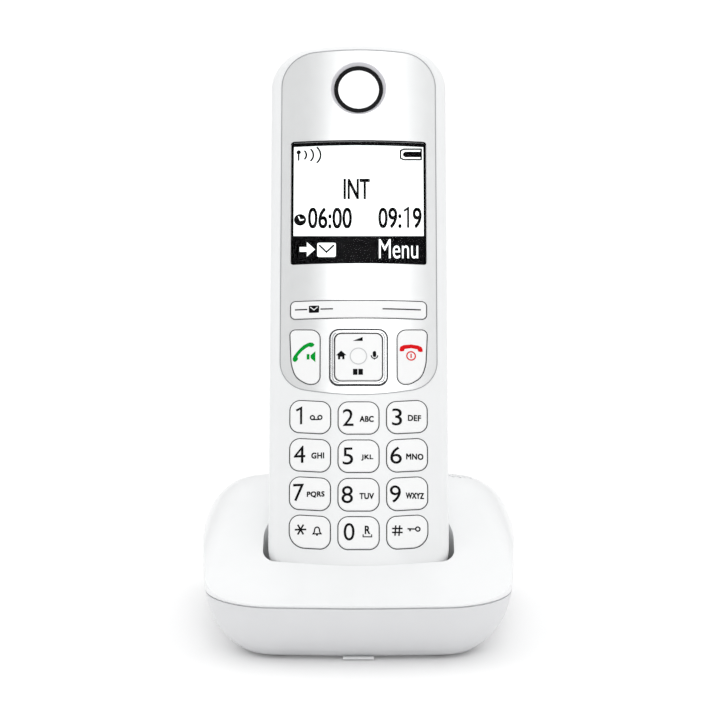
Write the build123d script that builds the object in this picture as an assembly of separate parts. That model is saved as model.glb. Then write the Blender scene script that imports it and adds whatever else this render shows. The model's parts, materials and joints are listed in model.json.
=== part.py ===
"""Cordless telephone: a bar-shaped handset standing in its charging base.

Units are millimetres, +Z is up, the front of the set faces -Y and +X is on the viewer's right.
The origin lies on the table under the middle of the whole set's bounding box.
"""
from build123d import *
import math
import os

# ---------------------------------------------------------------- driving dimensions
LEAN = 25.5  # degrees that the docked handset leans back from upright
ORIGIN_Y = 5.335  # where the origin lies in the base's own frame, whose Y = 0 is its mid depth

HANDSET_LENGTH = 158.6
HANDSET_HALF_WIDTH = 25.0
CROWN_HEIGHT = 9.4  # front crown above the parting plane of the two housings
CROWN_RADIUS = 110.0  # the front is a shallow cylinder across its width
WALL = 1.8
RIM_FILLET = 3.0
REAR_LEVELS = ((0, 0), (-6, 0.8), (-11, 3.2), (-14.5, 7.5), (-17.2, 14.5))  # (depth, inset)
DOCK_Y, DOCK_Z = -18.72, 12.68  # foot of the handset's parting plane, in the base's frame

# an end of a long rounded outline: slope in degrees, bend and corner radius per half width
HEAD_END = (6.6, 4.7, 0.47)
FOOT_END = (6.0, 4.0, 0.45)
PLATE_HEAD_END = (4.6, 6.8, 0.46)
PLATE_FOOT_END = (9.5, 3.3, 0.39)

PLATE_HALF_WIDTH = 22.1
PLATE_FOOT, PLATE_HEAD = 54.65, 156.7
PLATE_THICKNESS = 1.2
TRIM_GAP = 0.1  # between pieces that are fitted together
KEY_GAP = 0.3  # around every key

EARPIECE_V = 144.6
EARPIECE_RADII = (6.95, 5.9)  # of the ring
EARPIECE_LEVELS = (8.25, 9.35, 9.75)  # underside, top of the disc, top of the ring
RECEIVER = (2.6, 6.6, 6.5)  # foot, top and radius of the capsule behind the ring
LENS_HALF_WIDTH = 19.2
LENS_FOOT, LENS_HEAD = 92.9, 129.3
LENS_LEDGE = 0.6  # width of the seat under the display window's edge
LCD_LEVELS = (4.9, 6.4)
BACKLIGHT = (20.0, 90.5, 131.5, 2.2, 4.9)  # half width, foot, head, underside, top

KEY_COLUMNS = (-13.45, 0.0, 13.45)
KEY_ROWS = (48.0, 37.1, 26.2, 15.4)
KEY_SIZE = (11.1, 8.95)
KEY_CORNER = 2.7
KEY_SHEAR = 0.9  # the outer ends of the side keys are this much higher
KEY_PROUD = 0.35
KEY_BASE, KEY_FLANGE = 4.0, 0.6  # underside of every key and the height and width of its flange
SOFT_BAR = (19.0, 76.95, 81.85)  # half width, foot, head
# talk key's corners, mirrored for the end key, with the radius of each
CALL_KEY = (
    (10.9, 57.85), (14.3, 58.0), (17.6, 60.0), (18.75, 64.0), (19.2, 73.65), (10.9, 73.3),
)
CALL_KEY_RADII = (2.1, 4.0, 5.0, 9.0, 1.4, 2.5)
CONTROL_FRAME = (8.15, 57.25, 73.6)
CONTROL_FRAME_CORNER = 2.6
CONTROL_PAD = (6.55, 58.8, 72.2)
CONTROL_PAD_CORNER = 1.7
MAT_LEVELS = (2.4, 3.2)
PCB_LEVELS = (0.2, 1.2)
HANDSET_SCREWS = ((-19, 86), (19, 86), (-17, 141), (17, 141))
MICROPHONE_V = 4.8
HANDSFREE_V = 119.5
HANDSFREE_SPEAKER = (-14.6, -10.6, 8.0)  # foot, top and radius

COVER_HALF_WIDTH, COVER_HEAD, COVER_LEVEL = 17.8, 80.0, -8.5
CELL_DIAMETER, CELL_LENGTH = 10.5, 44.5
CELL_U, CELL_FOOT, CELL_LEVEL = 6.0, 16.0, -8.7

SEAM_HEIGHT = 16.7
BASE_BACK = 48.6
SEAM_GROOVE = (0.45, 0.7)  # height and depth of the shadow groove above the seam
SHELL_WALL = 2.0
BOWL_LEVELS = ((16.7, 0), (12.5, 0.9), (8, 2.9), (4, 6.1), (1, 10.0))  # (height, inset)
# stations along the depth of the top: y, half width, crown height, shoulder radius, arch
DECK_STATIONS = (
    (-56, 47, 15.6, 2.0, 0.5),
    (-44, 46, 18.1, 3.0, 0.6),
    (-28, 45.4, 21.3, 5.0, 0.6),
    (-17, 45, 25.3, 6.5, 0.8),
    (-4, 44.8, 30.0, 9.0, 1.6),
    (12, 44.8, 35.0, 13.0, 3.2),
    (28, 44.8, 37.9, 16.0, 5.0),
    (40, 44.6, 36.2, 16.0, 5.0),
    (54, 43.0, 27.0, 8.0, 2.5),
)
POCKET_SIDE, POCKET_FRONT, POCKET_BACK = 1.5, 0.45, 1.3  # room around the docked handset
# floor of the pocket in the handset's frame, as (length, depth)
POCKET_FLOOR = ((-0.5, 14), (-0.5, -2), (-3.6, -2), (-3.3, -7), (-0.8, -12), (4, -16), (13, -19.4))

RECESS = (22.0, 31.0, 12.5)  # half width, front and height of the cable recess under the rear
LINE_X, POWER_X = -9.5, 9.5
SOCKET_DEPTH = 13.0
SPEAKER_X, SPEAKER_Y, SPEAKER_RADIUS = 18.0, 35.0, 8.0
SPEAKER_LEVELS = (18.0, 22.5, 26.0)  # foot of the magnet, foot and top of the cone
HOLE_FIELD = (15.0, 7.0)  # half width and half depth of the perforated field
HOLE_PITCH, HOLE_RADIUS = 2.1, 0.55
CONTACT_U, CONTACT_LEVEL = 9.0, 4.0
FOOT_RADIUS = 4.5
FEET = ((-25, -25), (25, -25), (-27, 22), (27, 22))
SCREW_POSTS = ((-22, -34), (22, -34), (-30.5, 35), (30.5, 35))
SCREW_TOP = 18.0
PAGING_Z = 24.0
PAGING_SWITCH = (37.5, 43.2)  # front and back
FRONT_TAB = (-4.2, 4.2, -40.4, -34.0, 0.4, 1.0)

HANDSET = Plane(
    origin=(0, DOCK_Y, DOCK_Z),
    x_dir=(1, 0, 0),
    z_dir=(0, -math.cos(math.radians(LEAN)), math.sin(math.radians(LEAN))),
)


# ---------------------------------------------------------------- shared shapes
def block(x0, x1, y0, y1, z0, z1):
    """Box given by its two limits along each axis."""
    size = Box(x1 - x0, y1 - y0, z1 - z0)
    return Pos((x0 + x1) / 2, (y0 + y1) / 2, (z0 + z1) / 2) * size


def disc(x, y, z0, z1, radius):
    """Upright cylinder between two heights."""
    return Pos(x, y, (z0 + z1) / 2) * Cylinder(radius, z1 - z0)


def prism(face, z0, z1):
    """Flat face in XY carried from z0 to z1."""
    return extrude(Pos(0, 0, z0) * face, z1 - z0, dir=(0, 0, 1))


def long_outline(half_width, foot, head, foot_end=FOOT_END, head_end=HEAD_END):
    """Upright face with straight sides and arched ends with round corners."""
    points = []
    radii = []
    for y, sign, (slope, bend, corner) in ((foot, -1, foot_end), (head, 1, head_end)):
        lean = math.radians(slope)
        apex = y + sign * half_width * bend * (1 / math.cos(lean) - 1)
        shoulder = apex - sign * half_width * math.tan(lean)
        points += [(sign * half_width, shoulder), (0, apex), (-sign * half_width, shoulder)]
        radii += [corner * half_width, bend * half_width, corner * half_width]
    return make_face(FilletPolyline(*points, radius=radii, close=True))


def rounded_face(half_width, foot, head, radius, u=0.0):
    """Rounded rectangle between two limits along the handset."""
    return Pos(u, (foot + head) / 2) * RectangleRounded(2 * half_width, head - foot, radius)


def under_crown(solid, lift=0.0):
    """Part of a solid that lies below the handset's crown moved up by lift."""
    radius = CROWN_RADIUS + lift
    axis = Location((0, HANDSET_LENGTH / 2, CROWN_HEIGHT - CROWN_RADIUS), (90, 0, 0))
    return solid & axis * Cylinder(radius, 2 * HANDSET_LENGTH)


# ---------------------------------------------------------------- handset housings
def handset_front_body(inset, drop):
    """Front half of the handset as one solid, smaller by inset and lower by drop."""
    outline = long_outline(HANDSET_HALF_WIDTH - inset, inset, HANDSET_LENGTH - inset)
    return under_crown(prism(outline, 0, CROWN_HEIGHT + 5), -drop)


def rear_body(inset):
    """Rear half of the handset as one solid, smaller by inset all round."""
    sections = []
    for depth, level_inset in REAR_LEVELS:
        total = inset + level_inset
        outline = long_outline(HANDSET_HALF_WIDTH - total, total, HANDSET_LENGTH - total)
        sections.append(Pos(0, 0, depth * (1 - inset / -REAR_LEVELS[-1][0])) * outline)
    return loft(sections)


def plate_outline(shrink):
    """Outline of the glossy front plate."""
    return long_outline(
        PLATE_HALF_WIDTH - shrink, PLATE_FOOT + shrink, PLATE_HEAD - shrink,
        PLATE_FOOT_END, PLATE_HEAD_END,
    )


def key_outline(column, row, grow=0.0):
    """Number key: the side columns lean up outwards, the outer foot corners are rounder."""
    width, height = KEY_SIZE[0] + 2 * grow, KEY_SIZE[1] + 2 * grow
    side = column - 1
    slope = KEY_SHEAR / KEY_SIZE[0] * side
    corners = [(-width / 2, -height / 2), (width / 2, -height / 2)]
    corners += [(width / 2, height / 2), (-width / 2, height / 2)]
    points = [(u, v + slope * u + abs(slope) * KEY_SIZE[0] / 2) for u, v in corners]
    radii = [KEY_CORNER + grow] * 4
    if row == len(KEY_ROWS) - 1 and side != 0:
        radii[0 if side < 0 else 1] += 1.9
    face = make_face(FilletPolyline(*points, radius=radii, close=True))
    return Pos(KEY_COLUMNS[column], KEY_ROWS[row]) * face


def call_key_outline(side, grow=0.0):
    """Talk key on the left, end key on the right, with a large outer foot corner."""
    corners = [Vector(*corner) for corner in CALL_KEY]
    points = []
    for index, corner in enumerate(corners):
        before = (corner - corners[index - 1]).normalized()
        after = (corners[(index + 1) % len(corners)] - corner).normalized()
        outward = Vector(before.Y + after.Y, -before.X - after.X) / (1 + before.dot(after))
        grown = corner + outward * grow
        points.append((side * grown.X, grown.Y))
    radii = [radius + grow for radius in CALL_KEY_RADII]
    return make_face(FilletPolyline(*points, radius=radii, close=True))


def soft_bar_outline(grow=0.0):
    """Rocker bar under the display."""
    half_width, foot, head = SOFT_BAR
    return rounded_face(half_width + grow, foot - grow, head + grow, 1.3 + grow)


def frame_outline(grow=0.0):
    """Outer edge of the grey trim round the four-way control key."""
    half_width, foot, head = CONTROL_FRAME
    return rounded_face(half_width + grow, foot - grow, head + grow, CONTROL_FRAME_CORNER + grow)


def pad_outline(grow=0.0):
    """Four-way control key."""
    half_width, foot, head = CONTROL_PAD
    return rounded_face(half_width + grow, foot - grow, head + grow, CONTROL_PAD_CORNER + grow)


def lens_outline(grow=0.0):
    """Display window."""
    return rounded_face(LENS_HALF_WIDTH + grow, LENS_FOOT - grow, LENS_HEAD + grow, 0.8 + grow)


def display_window(inset):
    """Opening of the front shell under the window's ledge."""
    margin = LENS_LEDGE + inset
    return rounded_face(LENS_HALF_WIDTH - margin, LENS_FOOT + margin, LENS_HEAD - margin, 0.4)


def number_keys():
    """Every number key's place as (name, column, row)."""
    names = ("1", "2", "3", "4", "5", "6", "7", "8", "9", "star", "0", "hash")
    return [(name, index % 3, index // 3) for index, name in enumerate(names)]


def key_cuts(grow):
    """Shafts of all the keys, as one tool for the housing or the front plate."""
    outlines = [key_outline(column, row, grow) for _, column, row in number_keys()]
    outlines += [call_key_outline(side, grow) for side in (-1, 1)]
    outlines += [soft_bar_outline(grow), frame_outline(TRIM_GAP)]
    return [prism(outline, KEY_BASE - 4, CROWN_HEIGHT + 6) for outline in outlines]


def charge_windows(grow=0.0):
    """Two windows in the handset's foot for its charging plates."""
    shapes = []
    for side in (-1, 1):
        u = side * CONTACT_U
        w = CONTACT_LEVEL
        shapes.append(block(u - 2.5 - grow, u + 2.5 + grow, -2, 3, w - 1.7 - grow, w + 1.7 + grow))
    return shapes


def handset_front_housing():
    """Front shell with the plate's recess, the key shafts and the display window."""
    body = handset_front_body(0, 0)
    rim = body.edges().filter_by(lambda e: e.bounding_box().min.Z > CROWN_HEIGHT - 4)
    body = fillet(rim, RIM_FILLET)
    body -= handset_front_body(WALL, WALL + 0.5)
    recess = prism(plate_outline(0), 0, CROWN_HEIGHT + 5)
    body -= recess - under_crown(recess, -PLATE_THICKNESS)
    for tool in key_cuts(KEY_GAP):
        body -= tool
    body -= prism(display_window(0), 0, CROWN_HEIGHT + 5)
    body -= disc(0, EARPIECE_V, 0, CROWN_HEIGHT + 5, 4.5)
    body -= disc(0, MICROPHONE_V, 0, CROWN_HEIGHT + 5, 0.6)
    for window in charge_windows(TRIM_GAP):
        body -= window
    return body


def handset_faceplate():
    """Pearly front plate, set flush in the front shell."""
    plate = prism(plate_outline(TRIM_GAP), 0, CROWN_HEIGHT + 5)
    plate = under_crown(plate) - under_crown(plate, 0.05 - PLATE_THICKNESS)
    for tool in key_cuts(KEY_GAP):
        plate -= tool
    plate -= prism(lens_outline(TRIM_GAP), 0, CROWN_HEIGHT + 5)
    plate -= disc(0, EARPIECE_V, 0, CROWN_HEIGHT + 5, EARPIECE_RADII[0] + TRIM_GAP)
    return plate


def cover_block(grow):
    """Space of the battery cover, which takes in the rear of the foot."""
    half_width = COVER_HALF_WIDTH + grow
    space = block(-half_width, half_width, -5, COVER_HEAD + grow, -30, COVER_LEVEL + grow)
    return fillet(space.edges().filter_by(Axis.Z), 4.0)


def handset_rear_housing():
    """Rear shell with the battery bay behind its opening."""
    outer = rear_body(0)
    inner = rear_body(WALL)
    shell = outer - inner
    floor_level = CELL_LEVEL + CELL_DIAMETER / 2 + 0.4
    shelf = block(-30, 30, 8, 83, floor_level, floor_level + 1)
    posts = [disc(u, v, -13, -0.2, 2.6) for u, v in HANDSET_SCREWS]
    end_walls = block(-16, 16, 12.5, 13.7, COVER_LEVEL - 4, floor_level + 0.5)
    end_walls += block(-16, 16, 62.8, 64, COVER_LEVEL - 4, floor_level + 0.5)
    shell += (shelf + end_walls + posts) & outer
    shell -= cover_block(0.25)
    for u, v in HANDSET_SCREWS:
        shell -= disc(u, v, -6, 1, 1.1)
    for u in (-5.0, -2.5, 0.0, 2.5, 5.0):
        for v in (HANDSFREE_V - 1.5, HANDSFREE_V + 1.5):
            shell -= disc(u, v, -30, -10, 0.7)
    return shell


def battery_cover():
    """Sliding cover with a shallow thumb grip."""
    cover = (rear_body(0) - rear_body(WALL)) & cover_block(0)
    for step in range(3):
        cover -= Location((0, 70 - 2.4 * step, REAR_LEVELS[-1][0] - 0.1), (0, 90, 0)) * Cylinder(0.5, 14)
    return cover


# ---------------------------------------------------------------- handset keys
def key_solid(outline, flange, proud=KEY_PROUD):
    """Key cap that follows the crown, with a retaining flange under the housing."""
    cap = under_crown(prism(outline, KEY_BASE, CROWN_HEIGHT + 3), proud)
    top = cap.edges().filter_by(lambda e: e.bounding_box().min.Z > CROWN_HEIGHT - 3.2)
    cap = fillet(top, 0.3)
    return cap + prism(flange, KEY_BASE, KEY_BASE + KEY_FLANGE)


def control_pad():
    """Four-way key on a raised flange so that it can tilt."""
    cap = under_crown(prism(pad_outline(), KEY_BASE + 1, CROWN_HEIGHT + 3), KEY_PROUD)
    top = cap.edges().filter_by(lambda e: e.bounding_box().min.Z > CROWN_HEIGHT - 2)
    cap = fillet(top, 0.3)
    return cap + prism(pad_outline(KEY_FLANGE), KEY_BASE + 1, KEY_BASE + 1 + KEY_FLANGE)


def control_frame():
    """Trim ring between the front plate and the four-way key."""
    ring = prism(frame_outline(), 0, CROWN_HEIGHT + 3)
    ring = under_crown(ring, 0.1) - under_crown(ring, -PLATE_THICKNESS - 1.1)
    return ring - prism(pad_outline(KEY_GAP + 0.1), 0, CROWN_HEIGHT + 3)


def control_pivot():
    """Small gimbal plate that carries the four-way key."""
    return disc(0, (CONTROL_PAD[1] + CONTROL_PAD[2]) / 2, 3.6, 4.4, 3.0)


# ---------------------------------------------------------------- handset insides
def display_lens():
    """Clear window, flush with the front plate."""
    lens = prism(lens_outline(), 0, CROWN_HEIGHT + 5)
    return under_crown(lens) - under_crown(lens, 0.05 - PLATE_THICKNESS)


def earpiece_ring():
    """Dark ring round the earpiece, a little proud of the plate."""
    outer, inner = EARPIECE_RADII
    foot, _, top = EARPIECE_LEVELS
    return disc(0, EARPIECE_V, foot, top, outer) - disc(0, EARPIECE_V, foot, top, inner)


def keypad_mat():
    """Silicone sheet with a nib under each number key."""
    mat = prism(rounded_face(21.5, 9.5, 84, 3), *MAT_LEVELS)
    for _, column, row in number_keys():
        mat += disc(KEY_COLUMNS[column], KEY_ROWS[row], MAT_LEVELS[0] - 0.4, MAT_LEVELS[0] + 0.1, 1.5)
    return mat


def key_domes():
    """Snap domes on the circuit board."""
    top = PCB_LEVELS[1]
    domes = []
    for _, column, row in number_keys():
        domes.append(disc(KEY_COLUMNS[column], KEY_ROWS[row], top, top + 0.4, 2.4))
    for side in (-1, 1):
        domes.append(disc(side * 14, 79.5, top, top + 0.4, 2.0))
        domes.append(disc(side * 15, 66.5, top, top + 0.4, 2.0))
    return Compound(domes)


def handset_pcb():
    """Circuit board along the whole handset."""
    board = prism(rounded_face(21.8, 2.8, 154.5, 9), *PCB_LEVELS)
    for u, v in HANDSET_SCREWS:
        board -= disc(u, v, -2, 3, 1.3)
    return board


def cell(side):
    """Rechargeable AAA cell with its contact nib."""
    axis = Location((side * CELL_U, CELL_FOOT + CELL_LENGTH / 2, CELL_LEVEL), (90, 0, 0))
    body = axis * Cylinder(CELL_DIAMETER / 2, CELL_LENGTH - 0.8)
    nib = Pos(0, 0, -side * (CELL_LENGTH / 2 - 0.4)) * Cylinder(1.9, 0.8)
    return body + axis * nib


def battery_contacts():
    """Contact plates at both ends of the battery bay."""
    plates = []
    for v in (14.0, 62.0):
        for side in (-1, 1):
            u = side * CELL_U
            plates.append(block(u - 3.5, u + 3.5, v, v + 0.4, CELL_LEVEL - 3, CELL_LEVEL + 4))
    return Compound(plates)


def charge_plates():
    """Gold-plated charging plates in the handset's foot."""
    plates = []
    for window in charge_windows():
        box = window.bounding_box()
        plates.append(block(box.min.X, box.max.X, 0.75, 1.75, box.min.Z, box.max.Z))
    return Compound(plates)


def handset_screws():
    """Four pan-head screws through the circuit board."""
    screws = []
    for u, v in HANDSET_SCREWS:
        screws.append(disc(u, v, -4, 1.25, 1.0) + disc(u, v, 1.25, 2.35, 1.9))
    return Compound(screws)


def handset_antenna():
    """Folded strip antenna above the circuit board's head."""
    strip = block(-12, 12, 152, 154, 3.0, 3.4)
    strip += block(-12, -11.6, 152, 154, PCB_LEVELS[1], 3.4)
    return strip


# ---------------------------------------------------------------- base shells
def base_outline(inset=0.0):
    """Plan of the base at its seam: bowed front, swelling sides and round corners."""
    points = [(-40.6, -47.0), (0, -49.0), (40.6, -47.0), (44.6, 8), (43.0, 48.6), (-43.0, 48.6), (-44.6, 8)]
    face = make_face(FilletPolyline(*points, radius=[20, 200, 20, 220, 17, 17, 220], close=True))
    return offset(face, -inset) if inset else face


def bowl(inset, floor):
    """Lower half of the base as one solid, smaller by inset and cut off below floor."""
    sections = []
    for height, level_inset in BOWL_LEVELS:
        sections.append(Pos(0, 0, height) * base_outline(inset + level_inset))
    return loft(sections) & block(-60, 60, -60, 60, floor, SEAM_HEIGHT)


def deck(drop):
    """Long rounded loaf whose top is the deck and the hump, smaller by drop."""
    sections = []
    for y, half_width, height, shoulder, arch in DECK_STATIONS:
        half, top = half_width - drop, height - drop
        points = [(-half, -10), (half, -10), (half, top - arch), (0, top), (-half, top - arch)]
        radii = [0.5, 0.5, shoulder, 4.0 * half, shoulder]
        face = make_face(FilletPolyline(*points, radius=radii, close=True))
        sections.append(Plane(origin=(0, y, 0), x_dir=(1, 0, 0), z_dir=(0, -1, 0)).location * face)
    return loft(sections)


def top_body(inset):
    """Upper half of the base as one solid, smaller by inset."""
    return deck(inset) & prism(base_outline(inset), SEAM_HEIGHT, 45)


def pocket(grow, deepen):
    """Channel for the handset's foot, carried up along the handset."""
    side = HANDSET_HALF_WIDTH + POCKET_SIDE + grow
    front = CROWN_HEIGHT + POCKET_FRONT + grow
    back = REAR_LEVELS[-1][0] - POCKET_BACK - grow
    points = [(side, front - 2.6), (0, front + 0.2), (-side, front - 2.6), (-side, -5)]
    points += [(-17.5 - grow, back), (17.5 + grow, back), (side, -5)]
    radii = [4, 90, 4, 14, 6, 6, 14]
    section = make_face(FilletPolyline(*points, radius=radii, close=True))
    channel = extrude(Plane.XZ.offset(20).location * section, 100, dir=(0, 1, 0))
    floor = [(v - deepen, w) for v, w in POCKET_FLOOR]
    floor[0] = (floor[0][0], 30)
    floor[-1] = (floor[-1][0] + 8, floor[-1][1] - 12)
    side_view = make_face(Polyline(*floor, (60, floor[-1][1]), (60, 30), close=True))
    above = extrude(Plane(origin=(-50, 0, 0), x_dir=(0, 1, 0), z_dir=(1, 0, 0)).location * side_view, 100)
    return HANDSET.location * (channel & above)


def speaker_holes():
    """Staggered field of small holes over the base's loudspeaker."""
    row_pitch = HOLE_PITCH * math.sqrt(3) / 2
    half_width, half_depth = HOLE_FIELD
    holes = []
    for row in range(-4, 5):
        for column in range(-8, 8):
            x = (column + (row % 2) / 2) * HOLE_PITCH
            y = row * row_pitch
            if (x / half_width) ** 4 + (y / half_depth) ** 4 < 1:
                holes.append(disc(SPEAKER_X + x, SPEAKER_Y + y, 26, 45, HOLE_RADIUS))
    return holes


def contact_shafts(grow):
    """Slots in the pocket's floor for the two sprung charging pins."""
    shafts = []
    for side in (-1, 1):
        u = side * CONTACT_U
        w = CONTACT_LEVEL
        shafts.append(block(u - 1.6 - grow, u + 1.6 + grow, -20, 0.6, w - 0.8 - grow, w + 0.8 + grow))
    return [HANDSET.location * shaft for shaft in shafts]


def seam_groove():
    """Shadow groove round the foot of the top shell."""
    height, depth = SEAM_GROOVE
    ring = base_outline(-2) - base_outline(depth)
    return prism(ring, SEAM_HEIGHT - 1, SEAM_HEIGHT + height)


def base_top_shell():
    """Deck and hump with the handset's pocket hanging inside."""
    outer = top_body(0)
    shell = outer - top_body(SHELL_WALL)
    tub = pocket(WALL, WALL + 0.2) & (outer + block(-40, 40, -44, 40, 3.6, SEAM_HEIGHT + 0.1))
    shell += tub
    shell -= pocket(0, 0)
    shell -= speaker_holes()
    shell -= contact_shafts(0.25)
    shell -= block(-6.3, 6.3, 40, 60, PAGING_Z - 3.3, PAGING_Z + 3.3)
    for x, y in SCREW_POSTS:
        shell += disc(x, y, SEAM_HEIGHT, 32, 3.0) & outer
        shell -= disc(x, y, 10, SCREW_TOP + 0.3, 1.25)
    return shell - seam_groove()


def recess_box(grow):
    """Cable recess under the rear, open below and behind."""
    half_width, front, height = RECESS
    return block(-half_width - grow, half_width + grow, front - grow, 60, -5, height + grow)


def base_bottom_shell():
    """Bowl with the cable recess, the feet's seats and the screw posts."""
    outer = bowl(0, 1.0)
    shell = outer - bowl(SHELL_WALL, 3.0)
    for x, y in SCREW_POSTS:
        shell += disc(x, y, 2.0, SEAM_HEIGHT - 0.2, 3.0)
    shell += (recess_box(SHELL_WALL) - block(-60, 60, 0, 60, -9, 1)) & outer
    shell -= recess_box(0)
    for x in (LINE_X, POWER_X):
        shell -= block(x - 6.6, x + 6.6, 17.5, 40, 1.9, 12.1)
    for x, y in FEET:
        shell -= disc(x, y, 0, 1.6, FOOT_RADIUS + TRIM_GAP)
    for x, y in SCREW_POSTS:
        shell -= disc(x, y, 0, 9, 2.3) + disc(x, y, 0, 20, 1.25)
    return shell


# ---------------------------------------------------------------- base insides
def base_screw(x, y):
    """Countersunk housing screw in its post."""
    return disc(x, y, 7, SCREW_TOP, 1.15) + disc(x, y, 7, 8.9, 2.2)


def line_socket():
    """Six-way modular line socket, open to the rear."""
    rear = RECESS[1]
    body = block(LINE_X - 6.5, LINE_X + 6.5, rear - SOCKET_DEPTH, rear + 0.4, 2.0, 12.0)
    body -= block(LINE_X - 4.85, LINE_X + 4.85, rear - 11, rear + 2, 4.2, 10.6)
    return body - block(LINE_X - 3.1, LINE_X + 3.1, rear - 11, rear + 2, 3.0, 4.3)


def power_socket():
    """Keyed low-voltage power socket, open to the rear."""
    rear = RECESS[1]
    body = block(POWER_X - 6.5, POWER_X + 6.5, rear - SOCKET_DEPTH, rear + 0.4, 2.0, 12.0)
    body -= block(POWER_X - 4.4, POWER_X + 4.4, rear - 10, rear + 2, 4.4, 10.4)
    return body - block(POWER_X - 1.5, POWER_X + 1.5, rear - 10, rear + 2, 10.3, 11.2)


def base_pcb():
    """Circuit board over the sockets."""
    return block(-24, 24, 13.5, 44, 12.7 + SHELL_WALL, 14.3 + SHELL_WALL)


def base_speaker():
    """Loudspeaker with its magnet, hung under the perforated hump."""
    foot, rim, top = SPEAKER_LEVELS
    cone = disc(SPEAKER_X, SPEAKER_Y, rim, top, SPEAKER_RADIUS)
    return cone + disc(SPEAKER_X, SPEAKER_Y, foot, rim + 0.2, SPEAKER_RADIUS / 2)


def paging_key():
    """Handset-locating key in the back of the base."""
    cap = block(-6, 6, 45.2, BASE_BACK + 0.5, PAGING_Z - 3, PAGING_Z + 3)
    cap = fillet(cap.edges().filter_by(Axis.Y), 1.8)
    return cap + block(-7, 7, 44.4, 45.3, PAGING_Z - 4, PAGING_Z + 4)


def contact_pin(side):
    """Sprung charging pin that reaches the handset's plate."""
    u = side * CONTACT_U
    w = CONTACT_LEVEL
    pin = block(u - 1.6, u + 1.6, -6.5, 0.65, w - 0.8, w + 0.8)
    pin += block(u - 2.4, u + 2.4, -6.5, -5.5, w - 0.8, w + 0.8)
    return HANDSET.location * pin


def contact_carrier():
    """Guide block that holds the charging pins below the pocket."""
    w = CONTACT_LEVEL
    body = block(-13, 13, -8.6, -2.5, w - 2.2, w + 2.2)
    for side in (-1, 1):
        u = side * CONTACT_U
        body -= block(u - 2.65, u + 2.65, -7.6, -4.3, w - 1.05, w + 1.05)
        body -= block(u - 1.85, u + 1.85, -4.4, 0, w - 1.05, w + 1.05)
    return HANDSET.location * body


def base_pieces():
    """Every piece of the base by node name."""
    pieces = {
        "base_top_shell": base_top_shell(),
        "base_bottom_shell": base_bottom_shell(),
        "line_socket": line_socket(),
        "power_socket": power_socket(),
        "base_pcb": base_pcb(),
        "base_speaker": base_speaker(),
        "base_antenna": block(-23, -22.6, 18, 40, 14.3 + SHELL_WALL, 25),
        "paging_key": paging_key(),
        "paging_switch": block(-3, 3, *PAGING_SWITCH, PAGING_Z - 3, PAGING_Z + 3),
        "contact_carrier": contact_carrier(),
        "base_contact_left": contact_pin(-1),
        "base_contact_right": contact_pin(1),
        "base_screws": Compound([base_screw(x, y) for x, y in SCREW_POSTS]),
        "front_tab": block(*FRONT_TAB),
    }
    for (x, y), place in zip(FEET, ("front_left", "front_right", "rear_left", "rear_right")):
        pieces["base_foot_" + place] = disc(x, y, 0, 1.6, FOOT_RADIUS)
    return pieces


def handset_pieces():
    """Every piece of the handset by node name, in the handset's own frame."""
    pieces = {
        "handset_front_housing": handset_front_housing(),
        "handset_rear_housing": handset_rear_housing(),
        "handset_faceplate": handset_faceplate(),
        "display_lens": display_lens(),
        "lcd_panel": prism(display_window(TRIM_GAP), *LCD_LEVELS),
        "display_backlight": block(-BACKLIGHT[0], *BACKLIGHT),
        "earpiece_ring": earpiece_ring(),
        "earpiece_disc": disc(0, EARPIECE_V, *EARPIECE_LEVELS[:2], EARPIECE_RADII[1] - TRIM_GAP),
        "earpiece_speaker": disc(0, EARPIECE_V, *RECEIVER),
        "microphone": disc(0, MICROPHONE_V, PCB_LEVELS[1] + 0.05, 3.6, 1.8),
        "handset_pcb": handset_pcb(),
        "keypad_mat": keypad_mat(),
        "key_domes": key_domes(),
        "battery_cover": battery_cover(),
        "battery_left": cell(-1),
        "battery_right": cell(1),
        "battery_contacts": battery_contacts(),
        "handsfree_speaker": disc(0, HANDSFREE_V, *HANDSFREE_SPEAKER),
        "handset_charge_contacts": charge_plates(),
        "handset_screws": handset_screws(),
        "handset_antenna": handset_antenna(),
        "control_key_frame": control_frame(),
        "control_key": control_pad(),
        "control_key_pivot": control_pivot(),
        "soft_key_bar": key_solid(soft_bar_outline(), soft_bar_outline(KEY_FLANGE)),
        "talk_key": key_solid(call_key_outline(-1), call_key_outline(-1, KEY_FLANGE)),
        "end_key": key_solid(call_key_outline(1), call_key_outline(1, KEY_FLANGE)),
    }
    for name, column, row in number_keys():
        outline = key_outline(column, row)
        pieces["key_" + name] = key_solid(outline, key_outline(column, row, KEY_FLANGE))
    return {name: HANDSET.location * piece for name, piece in pieces.items()}


def main():
    """Write one STEP file per piece."""
    os.makedirs("parts", exist_ok=True)
    for name, piece in {**base_pieces(), **handset_pieces()}.items():
        export_step(piece.moved(Location((0, -ORIGIN_Y, 0))), "parts/" + name + ".step")


main()
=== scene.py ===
"""Looks of the cordless telephone: legends, display, trims, materials, studio and camera.

Handset places are given as (u, v, w) in millimetres: u across, v up the handset from its foot, and
w out of its face, with w = 0 on the ridge of the crowned front.
"""
import json
import math
import bpy
import bmesh
from mathutils import Matrix, Vector


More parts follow.
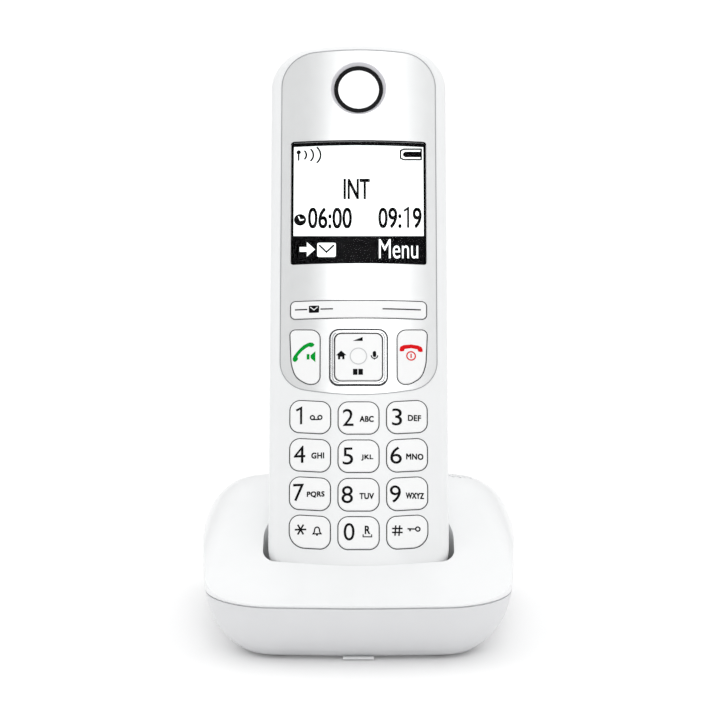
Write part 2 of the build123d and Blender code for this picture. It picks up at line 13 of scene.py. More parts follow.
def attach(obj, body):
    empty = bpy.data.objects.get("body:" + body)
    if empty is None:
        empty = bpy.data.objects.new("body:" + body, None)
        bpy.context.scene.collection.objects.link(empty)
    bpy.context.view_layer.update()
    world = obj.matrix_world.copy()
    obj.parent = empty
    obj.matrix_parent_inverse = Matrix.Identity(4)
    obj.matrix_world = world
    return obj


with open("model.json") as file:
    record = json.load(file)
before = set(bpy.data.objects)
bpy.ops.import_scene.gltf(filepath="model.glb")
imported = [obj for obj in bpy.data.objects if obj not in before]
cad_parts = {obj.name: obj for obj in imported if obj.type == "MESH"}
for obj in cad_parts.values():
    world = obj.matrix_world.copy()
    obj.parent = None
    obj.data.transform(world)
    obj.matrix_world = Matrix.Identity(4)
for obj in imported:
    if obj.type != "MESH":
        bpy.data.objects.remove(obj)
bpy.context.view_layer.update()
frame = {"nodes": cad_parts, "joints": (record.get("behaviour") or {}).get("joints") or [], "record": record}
NODES = frame["nodes"]

MM = 0.001
CROWN_RADIUS = 110.0  # of the front, across the handset
KEY_PROUD = 0.35  # key tops above the front
RIM_PROUD = 0.12  # painted shade and reflection lines of the control key's frame above the front
GAP_SHADE_DEPTH = 0.2  # depth of the painted shade in the gaps round the keys, below the front
KEY_TOPS, PLATE_TOP = -4.0, -6.0  # heights above which a key's or the plate's outline is taken
INK = 0.03  # thickness of a print and how far it stands off its surface
BORDER_DEPTH = 1.23  # of the print under the display window, below the window's top

ACROSS = Vector((1, 0, 0))
ALONG = Vector(next(j for j in frame["joints"] if j["name"] == "handset_lift")["axis"]).normalized()
OUTWARD = ACROSS.cross(ALONG)
FOOT = min(v.co.dot(ALONG) for v in NODES["handset_front_housing"].data.vertices)
RIDGE = max(v.co.dot(OUTWARD) for v in NODES["handset_faceplate"].data.vertices)


# ---------------------------------------------------------------- places on the handset
def place(u, v, w):
    """Point of the row frame at a handset place."""
    return ACROSS * (u * MM) + ALONG * (FOOT + v * MM) + OUTWARD * (RIDGE + w * MM)


def crown(u, lift=0.0):
    """Height of the crowned front, or of a surface lifted off it."""
    return math.sqrt((CROWN_RADIUS + lift) ** 2 - u * u) - CROWN_RADIUS


def local_box(node):
    """Lowest and highest (u, v, w) of a CAD node."""
    points = [vertex.co for vertex in NODES[node].data.vertices]
    spans = []
    for axis, start in ((ACROSS, 0.0), (ALONG, FOOT), (OUTWARD, RIDGE)):
        values = [(p.dot(axis) - start) / MM for p in points]
        spans.append((min(values), max(values)))
    return spans


# ---------------------------------------------------------------- materials
def new_material(name):
    """Material with its nodes, links and main shader."""
    material = bpy.data.materials.new(name)
    material.use_nodes = True
    nodes = material.node_tree.nodes
    return material, nodes, material.node_tree.links, nodes["Principled BSDF"]


def add_noise(nodes, links, scale):
    """Noise in object space, so that its grain has a real size; scale is in grains per metre."""
    where = nodes.new("ShaderNodeTexCoord")
    noise = nodes.new("ShaderNodeTexNoise")
    noise.inputs["Scale"].default_value = scale
    noise.inputs["Detail"].default_value = 3.0
    links.new(where.outputs["Object"], noise.inputs["Vector"])
    return noise


def add_ramp(nodes, links, source, low, high):
    """Colour or value that runs from low to high over the middle of a noise."""
    ramp = nodes.new("ShaderNodeValToRGB")
    ramp.color_ramp.elements[0].position = 0.3
    ramp.color_ramp.elements[1].position = 0.7
    ramp.color_ramp.elements[0].color = low
    ramp.color_ramp.elements[1].color = high
    links.new(source.outputs["Fac"], ramp.inputs["Fac"])
    return ramp


def grey(value):
    """Neutral colour, also used to carry a plain value through a ramp."""
    return (value, value, value, 1.0)


def plastic(name, colour, roughness, grain=9000.0, relief=0.02, mottle=0.985, coat=0.0, shine=0.5):
    """Moulded plastic: faint mottle in the colour, a fine texture and an uneven gloss."""
    material, nodes, links, shader = new_material(name)
    mottled = tuple(c * mottle for c in colour)
    blotch = add_noise(nodes, links, 120.0)
    tint = add_ramp(nodes, links, blotch, (*mottled, 1.0), (*colour, 1.0))
    links.new(tint.outputs["Color"], shader.inputs["Base Color"])
    gloss_noise = add_noise(nodes, links, 350.0)
    gloss = add_ramp(nodes, links, gloss_noise, grey(roughness * 0.92), grey(roughness * 1.08))
    links.new(gloss.outputs["Color"], shader.inputs["Roughness"])
    bump = nodes.new("ShaderNodeBump")
    bump.inputs["Strength"].default_value = relief
    bump.inputs["Distance"].default_value = 0.00005
    links.new(add_noise(nodes, links, grain).outputs["Fac"], bump.inputs["Height"])
    links.new(bump.outputs["Normal"], shader.inputs["Normal"])
    shader.inputs["Specular IOR Level"].default_value = shine
    shader.inputs["Coat Weight"].default_value = coat
    shader.inputs["Coat Roughness"].default_value = 0.08
    return material


def ink(name, colour):
    """Printed or moulded-in legend colour, also used for painted shade and reflection."""
    return plastic(name, colour, 0.5, grain=20000.0, relief=0.01, mottle=0.93, shine=0.04)


def metal(name, colour, roughness):
    """Plated or brushed metal."""
    material = plastic(name, colour, roughness, grain=6000.0, relief=0.05, mottle=0.95)
    material.node_tree.nodes["Principled BSDF"].inputs["Metallic"].default_value = 1.0
    return material


def pearl(name, colour, roughness):
    """Pearl lacquer: part of its light comes back in a broad metallic sheen, under a clear coat."""
    material = plastic(name, colour, roughness, grain=14000.0, coat=0.3)
    material.node_tree.nodes["Principled BSDF"].inputs["Metallic"].default_value = 0.55
    return material


def lit_panel(name, colour, strength):
    """Backlit display surface."""
    material, nodes, links, shader = new_material(name)
    dimmer = tuple(c * 0.985 for c in colour)
    cloud = add_ramp(nodes, links, add_noise(nodes, links, 60.0), (*dimmer, 1.0), (*colour, 1.0))
    links.new(cloud.outputs["Color"], shader.inputs["Base Color"])
    links.new(cloud.outputs["Color"], shader.inputs["Emission Color"])
    shader.inputs["Emission Strength"].default_value = strength
    shader.inputs["Roughness"].default_value = 0.6
    return material


def clear_window(name):
    """Clear hard-coated acrylic."""
    material, nodes, links, shader = new_material(name)
    smear = add_ramp(nodes, links, add_noise(nodes, links, 200.0), grey(0.02), grey(0.05))
    links.new(smear.outputs["Color"], shader.inputs["Roughness"])
    shader.inputs["Base Color"].default_value = (1, 1, 1, 1)
    shader.inputs["Transmission Weight"].default_value = 1.0
    shader.inputs["IOR"].default_value = 1.07
    return material


DISPLAY_WHITE = ((0.93, 0.97, 0.96), 0.75)  # colour and strength of the backlight

MATERIALS = {
    "shell_white": plastic("shell_white", (0.89, 0.90, 0.905), 0.33, coat=0.25),
    # painted shade: the lower shell gets a darker grey than the top shell's white, standing in for the shade
    # on its downward-facing bowl
    "shell_lower": plastic("shell_lower", (0.75, 0.755, 0.768), 0.38),
    "plate_pearl": pearl("plate_pearl", (0.885, 0.895, 0.90), 0.24),
    "key_white": plastic("key_white", (0.95, 0.955, 0.955), 0.35),
    "lens_clear": clear_window("lens_clear"),
    "lcd_white": lit_panel("lcd_white", *DISPLAY_WHITE),
    "ring_black": plastic("ring_black", (0.004, 0.004, 0.005), 0.2, shine=0.08),
    "trim_grey": metal("trim_grey", (0.70, 0.705, 0.71), 0.25),
    "mat_grey": plastic("mat_grey", (0.10, 0.10, 0.105), 0.6),
    "board_green": plastic("board_green", (0.02, 0.16, 0.07), 0.35),
    "part_black": plastic("part_black", (0.02, 0.02, 0.022), 0.5),
    "contact_metal": metal("contact_metal", (0.85, 0.66, 0.30), 0.25),
    "steel": metal("steel", (0.70, 0.70, 0.72), 0.28),
    "cell_sleeve": plastic("cell_sleeve", (0.04, 0.25, 0.13), 0.3, coat=0.4),
    "foot_rubber": plastic("foot_rubber", (0.25, 0.25, 0.26), 0.75, relief=0.1),
}
INKS = {
    "glow": lit_panel("display_glow", *DISPLAY_WHITE),
    "black": ink("legend_black", (0.005, 0.005, 0.006)),
    "green": ink("legend_green", (0.0, 0.33, 0.03)),
    "red": ink("legend_red", (0.78, 0.008, 0.012)),
    "pale": ink("legend_pale", (0.66, 0.67, 0.68)),
    "white": ink("legend_white", (0.93, 0.95, 0.95)),
    # painted shade: near-black for the key gaps and for the control frame's outer edge and foot
    "painted_shade": ink("painted_shade_dark", (0.05, 0.052, 0.056)),
    # painted shade: grey for the groove shadow round the plate and for the bevel lines of the control frame
    "line": ink("painted_shade_grey", (0.36, 0.37, 0.38)),
    # painted shade of the dish round the earpiece ring
    "painted_dish": ink("dish_shade_grey", (0.66, 0.655, 0.69)),
}


def dress_nodes():
    """Give every CAD node the material of its slot."""
    for row in frame["record"]["subparts"]:
        node = NODES[row["node"]]
        node.data.materials.clear()
        node.data.materials.append(MATERIALS[row["material_slot"]])


# ---------------------------------------------------------------- printed legends
class Legend:
    """Flat print or painted shade made of strokes, discs, outlines and text in (u, v), laid on a handset
    surface.
    """

    def __init__(self):
        self.mesh = bmesh.new()

    def polygon(self, points):
        """Filled outline of (u, v) points."""
        self.mesh.faces.new([self.mesh.verts.new((u, v, 0)) for u, v in points])

    def arc(self, u, v, radius, start, end, steps=24):
        """Points of a circular arc between two angles in degrees."""
        turns = [math.radians(start + (end - start) * i / steps) for i in range(steps + 1)]
        return [(u + radius * math.cos(a), v + radius * math.sin(a)) for a in turns]

    def disc(self, u, v, radius):
        """Filled circle."""
        self.polygon(self.arc(u, v, radius, 0, 345, 23))

    def box(self, left, right, foot, head):
        """Filled rectangle."""
        self.polygon([(left, foot), (right, foot), (right, head), (left, head)])

    def stroke(self, points, width, closed=False):
        """Line of even width through the points, with mitred joints."""
        path = [Vector(p) for p in points]
        count = len(path)
        sides = []
        for i, point in enumerate(path):
            before = (point - path[i - 1]).normalized() if i or closed else None
            after = (path[(i + 1) % count] - point).normalized() if i + 1 < count or closed else None
            leg = before or after
            along = leg + (after or before)
            normal = Vector((-along.y, along.x)).normalized()
            reach = width / 2 / max(0.4, normal.dot(Vector((-leg.y, leg.x))))
            sides.append((point + normal * reach, point - normal * reach))
        following = sides[1:] + (sides[:1] if closed else [])
        for (p, q), (r, t) in zip(sides, following):
            self.polygon([tuple(q), tuple(t), tuple(r), tuple(p)])

    def rounded_box(self, left, right, foot, head, corner):
        """Points of a rounded rectangle, counter-clockwise from its lower right corner."""
        points = []
        corners = ((right, foot, -90), (right, head, 0), (left, head, 90), (left, foot, 180))
        for u, v, start in corners:
            inward_u = corner if u == left else -corner
            inward_v = corner if v == foot else -corner
            points += self.arc(u + inward_u, v + inward_v, corner, start, start + 90, 8)
        return points

    def ring(self, u, v, radius, width):
        """Circle drawn with a line."""
        self.stroke(self.arc(u, v, radius, 0, 351, 39), width, closed=True)

    def text(self, words, left, right, foot, head, bold=0.0, spacing=1.0):
        """Words fitted between two limits across and two along; bold thickens the strokes, in mm."""
        curve = bpy.data.curves.new("words", "FONT")
        curve.body = words
        curve.space_character = spacing
        curve.resolution_u = 5
        holder = bpy.data.objects.new("words", curve)
        bpy.context.scene.collection.objects.link(holder)
        bpy.context.view_layer.update()
        shaped = holder.evaluated_get(bpy.context.evaluated_depsgraph_get())
        made = bpy.data.meshes.new_from_object(shaped)
        across = [p.co.x for p in made.vertices]
        up = [p.co.y for p in made.vertices]
        wide = (right - left - 2 * bold) / (max(across) - min(across))
        tall = (head - foot - 2 * bold) / (max(up) - min(up))
        fit = Matrix.Translation((left + bold, foot + bold, 0)) @ Matrix.Diagonal((wide, tall, 1, 1))
        made.transform(fit @ Matrix.Translation((-min(across), -min(up), 0)))
        steps = ((-1, -1), (1, -1), (1, 1), (-1, 1)) if bold else ((0, 0),)
        for du, dv in steps:
            shifted = made.copy()
            shifted.transform(Matrix.Translation((du * bold, dv * bold, 0)))
            self.mesh.from_mesh(shifted)
            bpy.data.meshes.remove(shifted)
        bpy.data.objects.remove(holder)
        bpy.data.meshes.remove(made)
        bpy.data.curves.remove(curve)

    def slice(self):
        """Cut the print into strips a millimetre wide, so that it can follow the crown."""
        bmesh.ops.triangulate(self.mesh, faces=self.mesh.faces[:])
        low = min(vertex.co.x for vertex in self.mesh.verts)
        high = max(vertex.co.x for vertex in self.mesh.verts)
        for u in range(math.ceil(low), math.ceil(high)):
            parts = self.mesh.verts[:] + self.mesh.edges[:] + self.mesh.faces[:]
            bmesh.ops.bisect_plane(self.mesh, geom=parts, plane_co=(u, 0, 0), plane_no=(1, 0, 0))

    def raise_by(self, step):
        """Move the print up the handset."""
        bmesh.ops.translate(self.mesh, verts=self.mesh.verts[:], vec=(0, step, 0))

    def make(self, name, body, slot, colour, surface):
        """Lay the print on surface(u), a height, and let it ride on a body."""
        self.slice()
        for vertex in self.mesh.verts:
            u, v, _ = vertex.co
            vertex.co = place(u, v, surface(u) + INK)
        data = bpy.data.meshes.new(name)
        self.mesh.to_mesh(data)
        self.mesh.free()
        piece = bpy.data.objects.new(name, data)
        bpy.context.scene.collection.objects.link(piece)
        data.materials.append(INKS[colour])
        solid = piece.modifiers.new("thickness", "SOLIDIFY")
        solid.thickness = INK * MM
        solid.offset = 0
        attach(piece, body)


def on_key(u):
    """Surface of a key cap."""
    return crown(u, KEY_PROUD)


# key: (digit, its limits, letters, their limits), limits as left, right, foot, head
NUMBER_LEGENDS = {
    "key_1": ("1", (-17.35, -15.75, 46.4, 51.15), None, None),
    "key_2": ("2", (-4.4, -1.4, 45.65, 50.5), "ABC", (0.3, 4.2, 46.78, 48.5)),
    "key_3": ("3", (9.3, 12.1, 45.9, 50.75), "DEF", (13.75, 17.4, 47.28, 49.0)),
    "key_4": ("4", (-18.0, -14.8, 35.4, 40.25), "GHI", (-13.1, -9.55, 36.48, 38.2)),
    "key_5": ("5", (-4.4, -1.5, 34.65, 39.5), "JKL", (0.75, 4.05, 35.78, 37.5)),
    "key_6": ("6", (8.8, 12.0, 35.0, 39.85), "MNO", (13.2, 18.0, 36.28, 38.0)),
    "key_7": ("7", (-18.1, -15.1, 24.6, 29.45), "PQRS", (-14.3, -9.4, 25.43, 27.2)),
    "key_8": ("8", (-4.7, -1.55, 23.75, 28.6), "TUV", (0.25, 4.25, 24.88, 26.6)),
    "key_9": ("9", (8.65, 11.7, 24.0, 28.85), "WXYZ", (13.05, 18.1, 25.18, 26.9)),
    "key_0": ("0", (-4.1, -1.1, 13.25, 18.15), "R", (1.7, 3.2, 15.08, 17.4)),
}


def digit_shape(legend, digit, limits):
    """Digit fitted to its limits; the one is drawn with its flag."""
    left, right, foot, head = limits
    if digit == "1":
        legend.stroke([(left, head - 0.8), (right - 0.25, head - 0.1), (right - 0.25, foot)], 0.58)
    else:
        legend.text(digit, *limits)


def number_legends():
    """Digits and letters of the number keys."""
    for key, (digit, limits, letters, letter_limits) in NUMBER_LEGENDS.items():
        legend = Legend()
        digit_shape(legend, digit, limits)
        if letters:
            legend.text(letters, *letter_limits, bold=0.065, spacing=1.06)
        if key == "key_1":
            tape_symbol(legend)
        if key == "key_0":
            legend.stroke([(1.25, 15.0), (1.25, 14.3), (3.6, 14.3), (3.6, 15.0)], 0.28)
        legend.make(key + "_legend", key, "part_black", "black", on_key)


def tape_symbol(legend):
    """Answering-machine sign: two reels on a line."""
    for u in (-12.85, -10.75):
        legend.ring(u, 48.2, 0.55, 0.36)
    legend.box(-12.85, -10.75, 47.45, 47.8)


def star_legend():
    """Six-armed star and a bell."""
    legend = Legend()
    u, v = -16.0, 16.55
    for turn in (0, 60, 120):
        a = math.radians(turn)
        du, dv = 1.58 * math.cos(a), 1.58 * math.sin(a)
        legend.stroke([(u - du, v - dv), (u + du, v + dv)], 0.44)
    bell = [(-12.55, 15.25), (-12.2, 15.75), (-12.1, 16.6), (-11.85, 17.0), (-11.45, 17.15)]
    bell += [(-11.05, 17.0), (-10.8, 16.6), (-10.7, 15.75), (-10.35, 15.25)]
    legend.stroke(bell, 0.34, closed=True)
    legend.disc(-11.45, 14.95, 0.27)
    legend.make("key_star_legend", "key_star", "part_black", "black", on_key)


def hash_legend():
    """Hash and a small key."""
    legend = Legend()
    for step in (-0.55, 0.55):
        legend.stroke([(9.25, 16.15 + step), (12.15, 16.2 + step)], 0.4)
        legend.stroke([(10.7 + step - 0.12, 14.7), (10.7 + step + 0.12, 17.6)], 0.4)
    legend.ring(16.35, 16.7, 0.58, 0.36)
    legend.stroke([(13.5, 16.7), (15.8, 16.7)], 0.36)
    legend.stroke([(14.2, 16.7), (14.2, 16.05)], 0.4)
    legend.make("key_hash_legend", "key_hash", "part_black", "black", on_key)


TALK_BOW = (
    (-12.35, 69.25), (-12.9, 69.75), (-13.65, 69.84), (-14.25, 69.66), (-15.35, 69.11), (-16.4, 68.2),
    (-17.3, 67.15), (-18.1, 66.11), (-18.45, 65.38), (-18.4, 64.74), (-17.95, 64.38), (-17.5, 64.47),
    (-17, 65.01), (-16.95, 65.42), (-17.15, 65.79), (-16.65, 66.56), (-15.8, 67.47), (-14.7, 68.29),
    (-13.95, 68.7), (-13.6, 68.57), (-13.2, 68.48), (-12.6, 68.79),
)
END_BOW = (
    (11.5, 67.95), (11.75, 68.6), (12.65, 69.05), (14.7, 69.3), (16.75, 69.05), (17.65, 68.6),
    (17.95, 67.95), (17.95, 67.35), (17.5, 67.2), (16.75, 67.35), (16.5, 67.95), (14.7, 68.25),
    (12.95, 67.95), (12.7, 67.35), (11.9, 67.2), (11.5, 67.35),
)


def call_legends():
    """Green talk sign with a loudspeaker, red end sign with a power sign."""
    talk = Legend()
    talk.polygon(TALK_BOW[::-1])
    talk.box(-14.5, -13.75, 64.95, 66.5)
    talk.polygon([(-13.4, 65.3), (-12.1, 64.15), (-12.1, 67.25), (-13.4, 66.15)])
    talk.make("talk_key_legend", "talk_key", "part_black", "green", on_key)
    end = Legend()
    end.polygon(END_BOW[::-1])
    end.make("end_key_legend", "end_key", "part_black", "red", on_key)
    power = Legend()
    power.ring(14.7, 66.0, 1.2, 0.34)
    power.box(14.53, 14.87, 65.4, 66.6)
    power.make("end_key_power_sign", "end_key", "part_black", "red", on_key)


def control_legends():
    """Volume wedge, house, microphone and phone book round a faint ring."""
    signs = Legend()
    signs.polygon([(-1.6, 70.1), (1.15, 70.1), (1.15, 71.2)])
    signs.polygon([(-6.3, 65.95), (-4.85, 67.3), (-3.4, 65.95)][::-1])
    for left, right in ((-5.75, -5.15), (-4.55, -3.95)):
        signs.box(left, right, 64.8, 66.0)
    signs.box(-5.75, -3.95, 65.55, 66.0)
    signs.stroke([(4.45, 65.9), (4.45, 66.7)], 0.95)
    signs.disc(4.45, 66.7, 0.47)
    signs.disc(4.45, 65.9, 0.47)
    signs.stroke(signs.arc(4.45, 65.95, 0.92, 180, 360, 12), 0.28)
    signs.stroke([(4.45, 65.1), (4.45, 64.7)], 0.26)
    signs.box(-1.55, -0.3, 60.3, 62.0)
    signs.box(-0.05, 1.2, 60.3, 62.0)
    signs.make("control_key_legend", "control_key", "part_black", "black", on_key)
    ring = Legend()
    ring.ring(-0.05, 65.7, 2.3, 0.3)
    ring.make("control_key_ring", "control_key", "part_black", "pale", on_key)


def soft_bar_legend():
    """Lines and an envelope on the rocker bar."""
    bar = Legend()
    for left, right in ((-17.9, -14.45), (-10.7, -7.2), (6.75, 17.5)):
        bar.box(left, right, 79.3, 79.63)
    bar.polygon(bar.rounded_box(-13.95, -11.1, 78.45, 80.5, 0.25))
    bar.make("soft_key_bar_legend", "soft_key_bar", "part_black", "black", on_key)
    flap = Legend()
    flap.stroke([(-13.55, 80.1), (-12.52, 79.25), (-11.5, 80.1)], 0.24)
    flap.make("soft_key_bar_flap", "soft_key_bar", "key_white", "white", lambda u: on_key(u) + INK)


# ---------------------------------------------------------------- display
LCD = local_box("lcd_panel")
LCD_TOP = LCD[2][1]
PARALLAX = 0.55  # the picture lies below the window, so it sits this much further up the handset


def show(signs, name, colour, layer):
    """Lay signs on the display panel, the given number of print layers above it."""
    signs.raise_by(PARALLAX)
    slot = "lcd_white" if colour == "glow" else "part_black"
    signs.make(name, "handset", slot, colour, lambda u: LCD_TOP + layer * INK)


def lcd_text():
    """Dark signs of the idle screen."""
    signs = Legend()
    signs.text("INT", -4.3, 3.2, 112.1, 118.2, bold=0.11)
    signs.text("06:00", -14.35, -1.9, 103.4, 109.6, bold=0.1)
    signs.text("09:", 5.6, 12.15, 103.5, 109.6, bold=0.1)
    signs.stroke([(12.85, 108.6), (14.05, 109.45), (14.05, 103.6)], 0.6)
    signs.text("9", 15.35, 17.9, 103.5, 109.6, bold=0.1)
    lcd_reception(signs)
    lcd_battery(signs)
    show(signs, "lcd_signs", "black", 0)


def lcd_reception(signs):
    """Aerial with three waves."""
    signs.disc(-17.1, 126.1, 0.62)
    signs.box(-17.33, -16.87, 123.6, 126.0)
    for index, radius in enumerate((1.7, 2.35, 3.05)):
        u = -16.6 + 1.35 * index
        signs.stroke(signs.arc(u, 125.3, radius, -50, 50, 14), 0.5)


def battery_shape(nose, neck, back, foot, head, slant):
    """Outline of a lying battery whose nose end has slanted corners."""
    lower = [(nose, foot + slant), (neck, foot), (back, foot)]
    return lower + [(back, head), (neck, head), (nose, head - slant)]


def lcd_battery(signs):
    """Battery with a charge nearly filling it."""
    signs.stroke(battery_shape(11.95, 12.9, 17.85, 123.9, 127.05, 0.45), 0.44, closed=True)
    signs.polygon(battery_shape(12.65, 13.25, 17.7, 124.65, 126.3, 0.55))


def lcd_clock():
    """Round clock with pale hands."""
    face = Legend()
    face.disc(-16.6, 105.95, 1.72)
    show(face, "lcd_clock", "black", 0)
    hands = Legend()
    hands.stroke([(-17.05, 107.0), (-16.55, 105.8), (-15.5, 106.05)], 0.34)
    show(hands, "lcd_clock_hands", "glow", 1)


def lcd_bar():
    """Dark menu bar with pale signs."""
    (left, right), (foot, _), _ = LCD
    bar = Legend()
    bar.box(left, right, foot - PARALLAX, 101.15)
    show(bar, "lcd_menu_bar", "black", 0)
    signs = Legend()
    signs.box(-16.7, -14.6, 96.5, 97.9)
    signs.polygon([(-14.65, 95.05), (-12.35, 97.2), (-14.65, 99.35)])
    signs.polygon(signs.rounded_box(-11.7, -6.45, 94.95, 99.15, 0.5))
    signs.text("Menu", 5.75, 16.85, 94.5, 100.2)
    show(signs, "lcd_menu_signs", "glow", 1)
    flap = Legend()
    flap.stroke([(-11.2, 98.5), (-9.08, 96.4), (-6.95, 98.5)], 0.5)
    show(flap, "lcd_envelope_flap", "black", 2)


def display_border():
    """Dark border printed under the window, over the edge of the panel."""
    (left, right), (foot, head), (_, top) = local_box("display_lens")
    under = top - BORDER_DEPTH
    edge, brow, margin = 0.75, 1.15, 0.05
    border = Legend()
    border.box(left + margin, left + edge, foot + margin, head - margin)
    border.box(right - edge, right - margin, foot + margin, head - margin)
    border.box(left + edge, right - edge, foot + margin, foot + edge)
    border.box(left + edge, right - edge, head - brow, head - margin)
    border.make("display_border", "handset", "ring_black", "black", lambda u: crown(u) + under)


# ---------------------------------------------------------------- gaps and trims, with their painted shade and reflection
def hull(points):
    """Convex outline of (u, v) points, counter-clockwise."""
    points = sorted(set(points))

    def half(path):
        chain = []
        for p in path:
            while len(chain) > 1:
                (a, b), (c, d) = chain[-2:]
                if (c - a) * (p[1] - b) - (d - b) * (p[0] - a) > 1e-9:
                    break
                chain.pop()
            chain.append(p)
        return chain[:-1]

    return half(points) + half(points[::-1])


def outline_of(node, above):
    """Outline of a CAD node's part that stands above a height w."""
    points = []
    for vertex in NODES[node].data.vertices:
        if (vertex.co.dot(OUTWARD) - RIDGE) / MM > above:
            u = vertex.co.dot(ACROSS) / MM
            points.append((round(u, 3), round((vertex.co.dot(ALONG) - FOOT) / MM, 3)))
    return thinned(hull(points))


def thinned(points, gap=0.12):
    """Outline without the points that crowd each other."""
    kept = [points[0]]
    for point in points[1:]:
        if math.dist(point, kept[-1]) > gap:
            kept.append(point)
    return kept


def spaced(points, step=0.8, closed=True):
    """Outline or path with points no further apart than step."""
    dense = []
    following = points[1:] + (points[:1] if closed else [])
    for a, b in zip(points, following):
        count = max(1, math.ceil(math.dist(a, b) / step))
        leg = (Vector(b) - Vector(a)) / count
        dense += [(a[0] + leg.x * i, a[1] + leg.y * i) for i in range(count)]
    return dense


def grown(points, amount):
    """Closed outline moved outwards."""
    moved = []
    for before, here, after in zip(points[-1:] + points[:-1], points, points[1:] + points[:1]):
        along = Vector(after) - Vector(before)
        normal = Vector((along.y, -along.x)).normalized()
        moved.append((here[0] + normal.x * amount, here[1] + normal.y * amount))
    return moved


KEYS = [key for key in NODES if key.startswith("key_") and key != "key_domes"]
KEYS += ["soft_key_bar", "talk_key", "end_key"]


def key_gap_shade():
    """Painted shade in the gap round every key: a dark band laid just below the front."""
    gap_shades = Legend()
    gap = 0.3
    for key in KEYS:
        gap_shades.stroke(grown(spaced(outline_of(key, KEY_TOPS)), gap / 2), gap, closed=True)
    gap_shades.make("keypad_gap_shade", "handset", "mat_grey", "painted_shade", lambda u: crown(u) - GAP_SHADE_DEPTH)


FRAME_CORNER = 2.6
FRAME_BOX = local_box("control_key_frame")


def on_frame(u):
    """Surface of the control key's frame."""
    return crown(u, RIM_PROUD)


def frame_edge_shade():
    """Painted shade on the outer edge of the polished frame round the control key."""
    (left, right), (foot, head), _ = FRAME_BOX
    inset, width = 0.12, 0.4
    rim = Legend()
    box = rim.rounded_box(left + inset, right - inset, foot + inset, head - inset, FRAME_CORNER - inset)
    rim.stroke(spaced(thinned(box)), width, closed=True)
    rim.make("control_frame_edge_shade", "handset", "trim_grey", "painted_shade", on_frame)


def frame_bevel_shade():
    """Painted shade and reflection of the frame's rounded bevel: a grey line down each side, bending in at
    its ends.
    """
    (left, right), (foot, head), _ = FRAME_BOX
    inset, width = 0.78, 0.26
    bend, end, knee = FRAME_CORNER - inset, 0.1, (0.5, 0.6)
    low, high = foot + inset, head - inset
    bevel_lines = Legend()
    for edge, inward in ((left + inset, 1), (right - inset, -1)):
        path = [(edge + inward * bend, low + end), (edge + inward * knee[0], low + knee[1])]
        path += [(edge, low + bend), (edge, high - bend)]
        path += [(edge + inward * knee[0], high - knee[1]), (edge + inward * bend, high - end)]
        bevel_lines.stroke(spaced(path, closed=False), width)
    bevel_lines.make("control_frame_bevel_shade", "handset", "trim_grey", "line", on_frame)


def frame_shade():
    """Shade along the foot of the frame."""
    (left, right), (foot, _), _ = FRAME_BOX
    inset, width = 0.2, 0.56
    shade = Legend()
    path = shade.arc(left + FRAME_CORNER, foot + FRAME_CORNER, FRAME_CORNER - inset, 205, 270, 8)
    path += shade.arc(right - FRAME_CORNER, foot + FRAME_CORNER, FRAME_CORNER - inset, 270, 335, 8)
    shade.stroke(spaced(path, closed=False), width)
    shade.make("control_frame_shade", "handset", "trim_grey", "painted_shade", lambda u: on_frame(u) + INK)


def faceplate_shadow_line():
    """Painted shadow of the groove round the front plate."""
    groove = Legend()
    groove.stroke(spaced(outline_of("handset_faceplate", PLATE_TOP)), 0.24, closed=True)
    groove.make("faceplate_groove_shadow", "handset", "shell_white", "line", crown)


def earpiece_painted_shade():
    """Painted shade of a shallow dish round the earpiece ring, deepest above it: a flat grey band, widest
    above the ring.
    """
    u, v, _ = ((low + high) / 2 for low, high in local_box("earpiece_ring"))
    rim, dish, rise = 7.1, 7.92, 0.38
    painted_dish = Legend()
    inner = painted_dish.arc(u, v, rim, 0, 351, 39)
    outer = painted_dish.arc(u, v + rise, dish, 0, 351, 39)
    count = len(inner)
    for i in range(count):
        k = (i + 1) % count
        painted_dish.polygon([inner[i], outer[i], outer[k], inner[k]])
    painted_dish.make("earpiece_painted_shade", "handset", "plate_pearl", "painted_dish", crown)


dress_nodes()
key_gap_shade()
frame_edge_shade()
frame_bevel_shade()
frame_shade()
faceplate_shadow_line()
earpiece_painted_shade()
number_legends()
star_legend()
hash_legend()
call_legends()
control_legends()
soft_bar_legend()
lcd_text()
lcd_clock()
lcd_bar()
display_border()


# ---------------------------------------------------------------- studio
SET_MIDDLE = Vector((0, 0, 0.08))


def area_light(name, azimuth, elevation, distance, size, radiance):
    """Soft rectangular light that faces the set; azimuth is from the front, in degrees."""
    turn, rise = math.radians(azimuth), math.radians(elevation)
    flat = math.cos(rise)
    toward = Vector((math.sin(turn) * flat, -math.cos(turn) * flat, math.sin(rise)))
    data = bpy.data.lights.new(name, "AREA")
    data.shape = "RECTANGLE"
    data.size, data.size_y = size
    data.energy = math.pi * size[0] * size[1] * radiance
    lamp = bpy.data.objects.new(name, data)
    bpy.context.scene.collection.objects.link(lamp)
    lamp.location = SET_MIDDLE + toward * distance
    lamp.rotation_euler = (-toward).to_track_quat("-Z", "Y").to_euler()


# place across the sky from left to right, and its brightness there, in front of the object
CARDS = (
    (0.22, 1.0), (0.30, 0.42), (0.43, 0.42), (0.50, 1.15),
    (0.58, 1.15), (0.66, 0.5), (0.72, 0.6), (0.78, 1.0),
)
HORIZON, ZENITH = 0.62, 1.4  # brightness of the sky


def add_range(nodes, links, source, start, end, low=0.0, high=1.0):
    """Value that runs from low to high while the source runs from start to end."""
    span = nodes.new("ShaderNodeMapRange")
    span.inputs["From Min"].default_value = start
    span.inputs["From Max"].default_value = end
    span.inputs["To Min"].default_value = low
    span.inputs["To Max"].default_value = high
    links.new(source, span.inputs["Value"])
    return span.outputs["Result"]


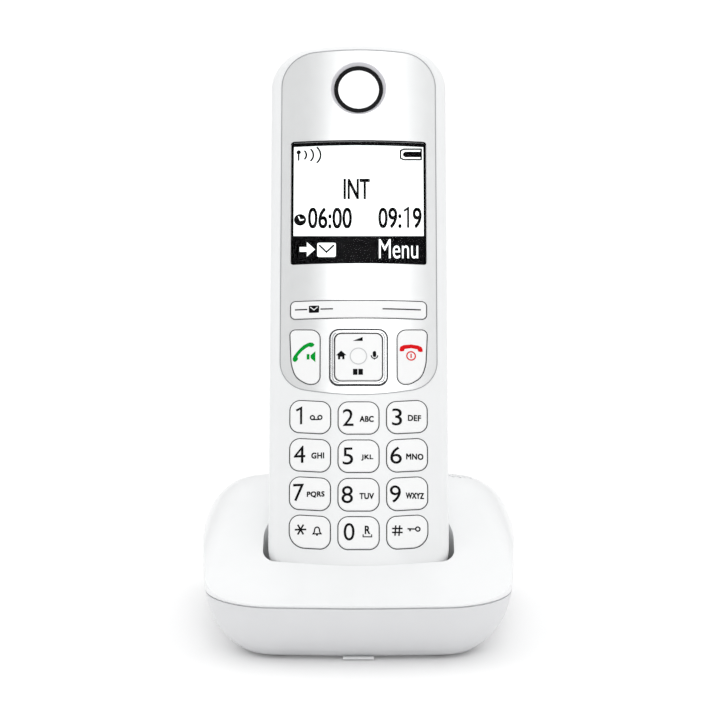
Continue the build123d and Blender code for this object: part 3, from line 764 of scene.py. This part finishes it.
def grey_cards(nodes, links, across):
    """Brightness of the grey cards either side of the front light."""
    cards = nodes.new("ShaderNodeValToRGB")
    ramp = cards.color_ramp
    ramp.interpolation = "B_SPLINE"
    for position, _ in CARDS[2:]:
        ramp.elements.new(position)
    for element, (position, brightness) in zip(ramp.elements, CARDS):
        element.position = position
        element.color = grey(brightness)
    links.new(across, cards.inputs["Fac"])
    return cards.outputs["Color"]


def paint_sky(nodes, links):
    """White surroundings that brighten overhead, with the grey cards in front of the object."""
    where = nodes.new("ShaderNodeTexCoord")
    split = nodes.new("ShaderNodeSeparateXYZ")
    links.new(where.outputs["Generated"], split.inputs["Vector"])
    height = add_range(nodes, links, split.outputs["Z"], 0.0, 1.0, HORIZON, ZENITH)
    across = add_range(nodes, links, split.outputs["X"], -1.0, 1.0)
    front = add_range(nodes, links, split.outputs["Y"], -0.1, -0.5)
    blend = nodes.new("ShaderNodeMix")
    blend.inputs["A"].default_value = 1.0
    links.new(front, blend.inputs["Factor"])
    links.new(grey_cards(nodes, links, across), blend.inputs["B"])
    strength = nodes.new("ShaderNodeMath")
    strength.operation = "MULTIPLY"
    links.new(height, strength.inputs[0])
    links.new(blend.outputs["Result"], strength.inputs[1])
    links.new(strength.outputs["Value"], nodes["Background"].inputs["Strength"])
    nodes["Background"].inputs["Color"].default_value = (1, 1, 1, 1)


def studio():
    """White floor and surroundings, and a soft light that the glossy front mirrors."""
    scene = bpy.context.scene
    scene.view_settings.view_transform = "Standard"
    world = bpy.data.worlds.new("studio")
    world.use_nodes = True
    paint_sky(world.node_tree.nodes, world.node_tree.links)
    scene.world = world
    area_light("front_light", azimuth=3, elevation=40, distance=1.0, size=(0.40, 0.34), radiance=1.6)
    lay_floor(4.0)


def lay_floor(reach):
    """Plain floor that reaches this far each way."""
    mesh = bpy.data.meshes.new("floor")
    corners = [(-reach, -reach, 0), (reach, -reach, 0), (reach, reach, 0), (-reach, reach, 0)]
    mesh.from_pydata(corners, [], [(0, 1, 2, 3)])
    mesh.materials.append(floor_paper())
    floor = bpy.data.objects.new("floor", mesh)
    bpy.context.scene.collection.objects.link(floor)


def floor_paper():
    """Bright white studio paper."""
    material = plastic("floor_white", (0.95, 0.95, 0.95), 0.9, mottle=1.0)
    shader = material.node_tree.nodes["Principled BSDF"]
    shader.inputs["Emission Color"].default_value = (1, 1, 1, 1)
    shader.inputs["Emission Strength"].default_value = 0.05
    return material


def camera():
    """Long lens, a little above level, that takes in a given width at the handset's middle."""
    elevation, distance, width = math.radians(11.0), 0.85, 0.20112
    target = Vector((0.0004, -0.0053, 0.0752))
    back = Vector((0, -math.cos(elevation), math.sin(elevation)))
    data = bpy.data.cameras.new("camera")
    data.sensor_width = 36.0
    data.lens = data.sensor_width * distance / width
    eye = bpy.data.objects.new("camera", data)
    bpy.context.scene.collection.objects.link(eye)
    eye.location = target + back * distance
    eye.rotation_euler = (-back).to_track_quat("-Z", "Y").to_euler()
    bpy.context.scene.camera = eye


studio()
camera()
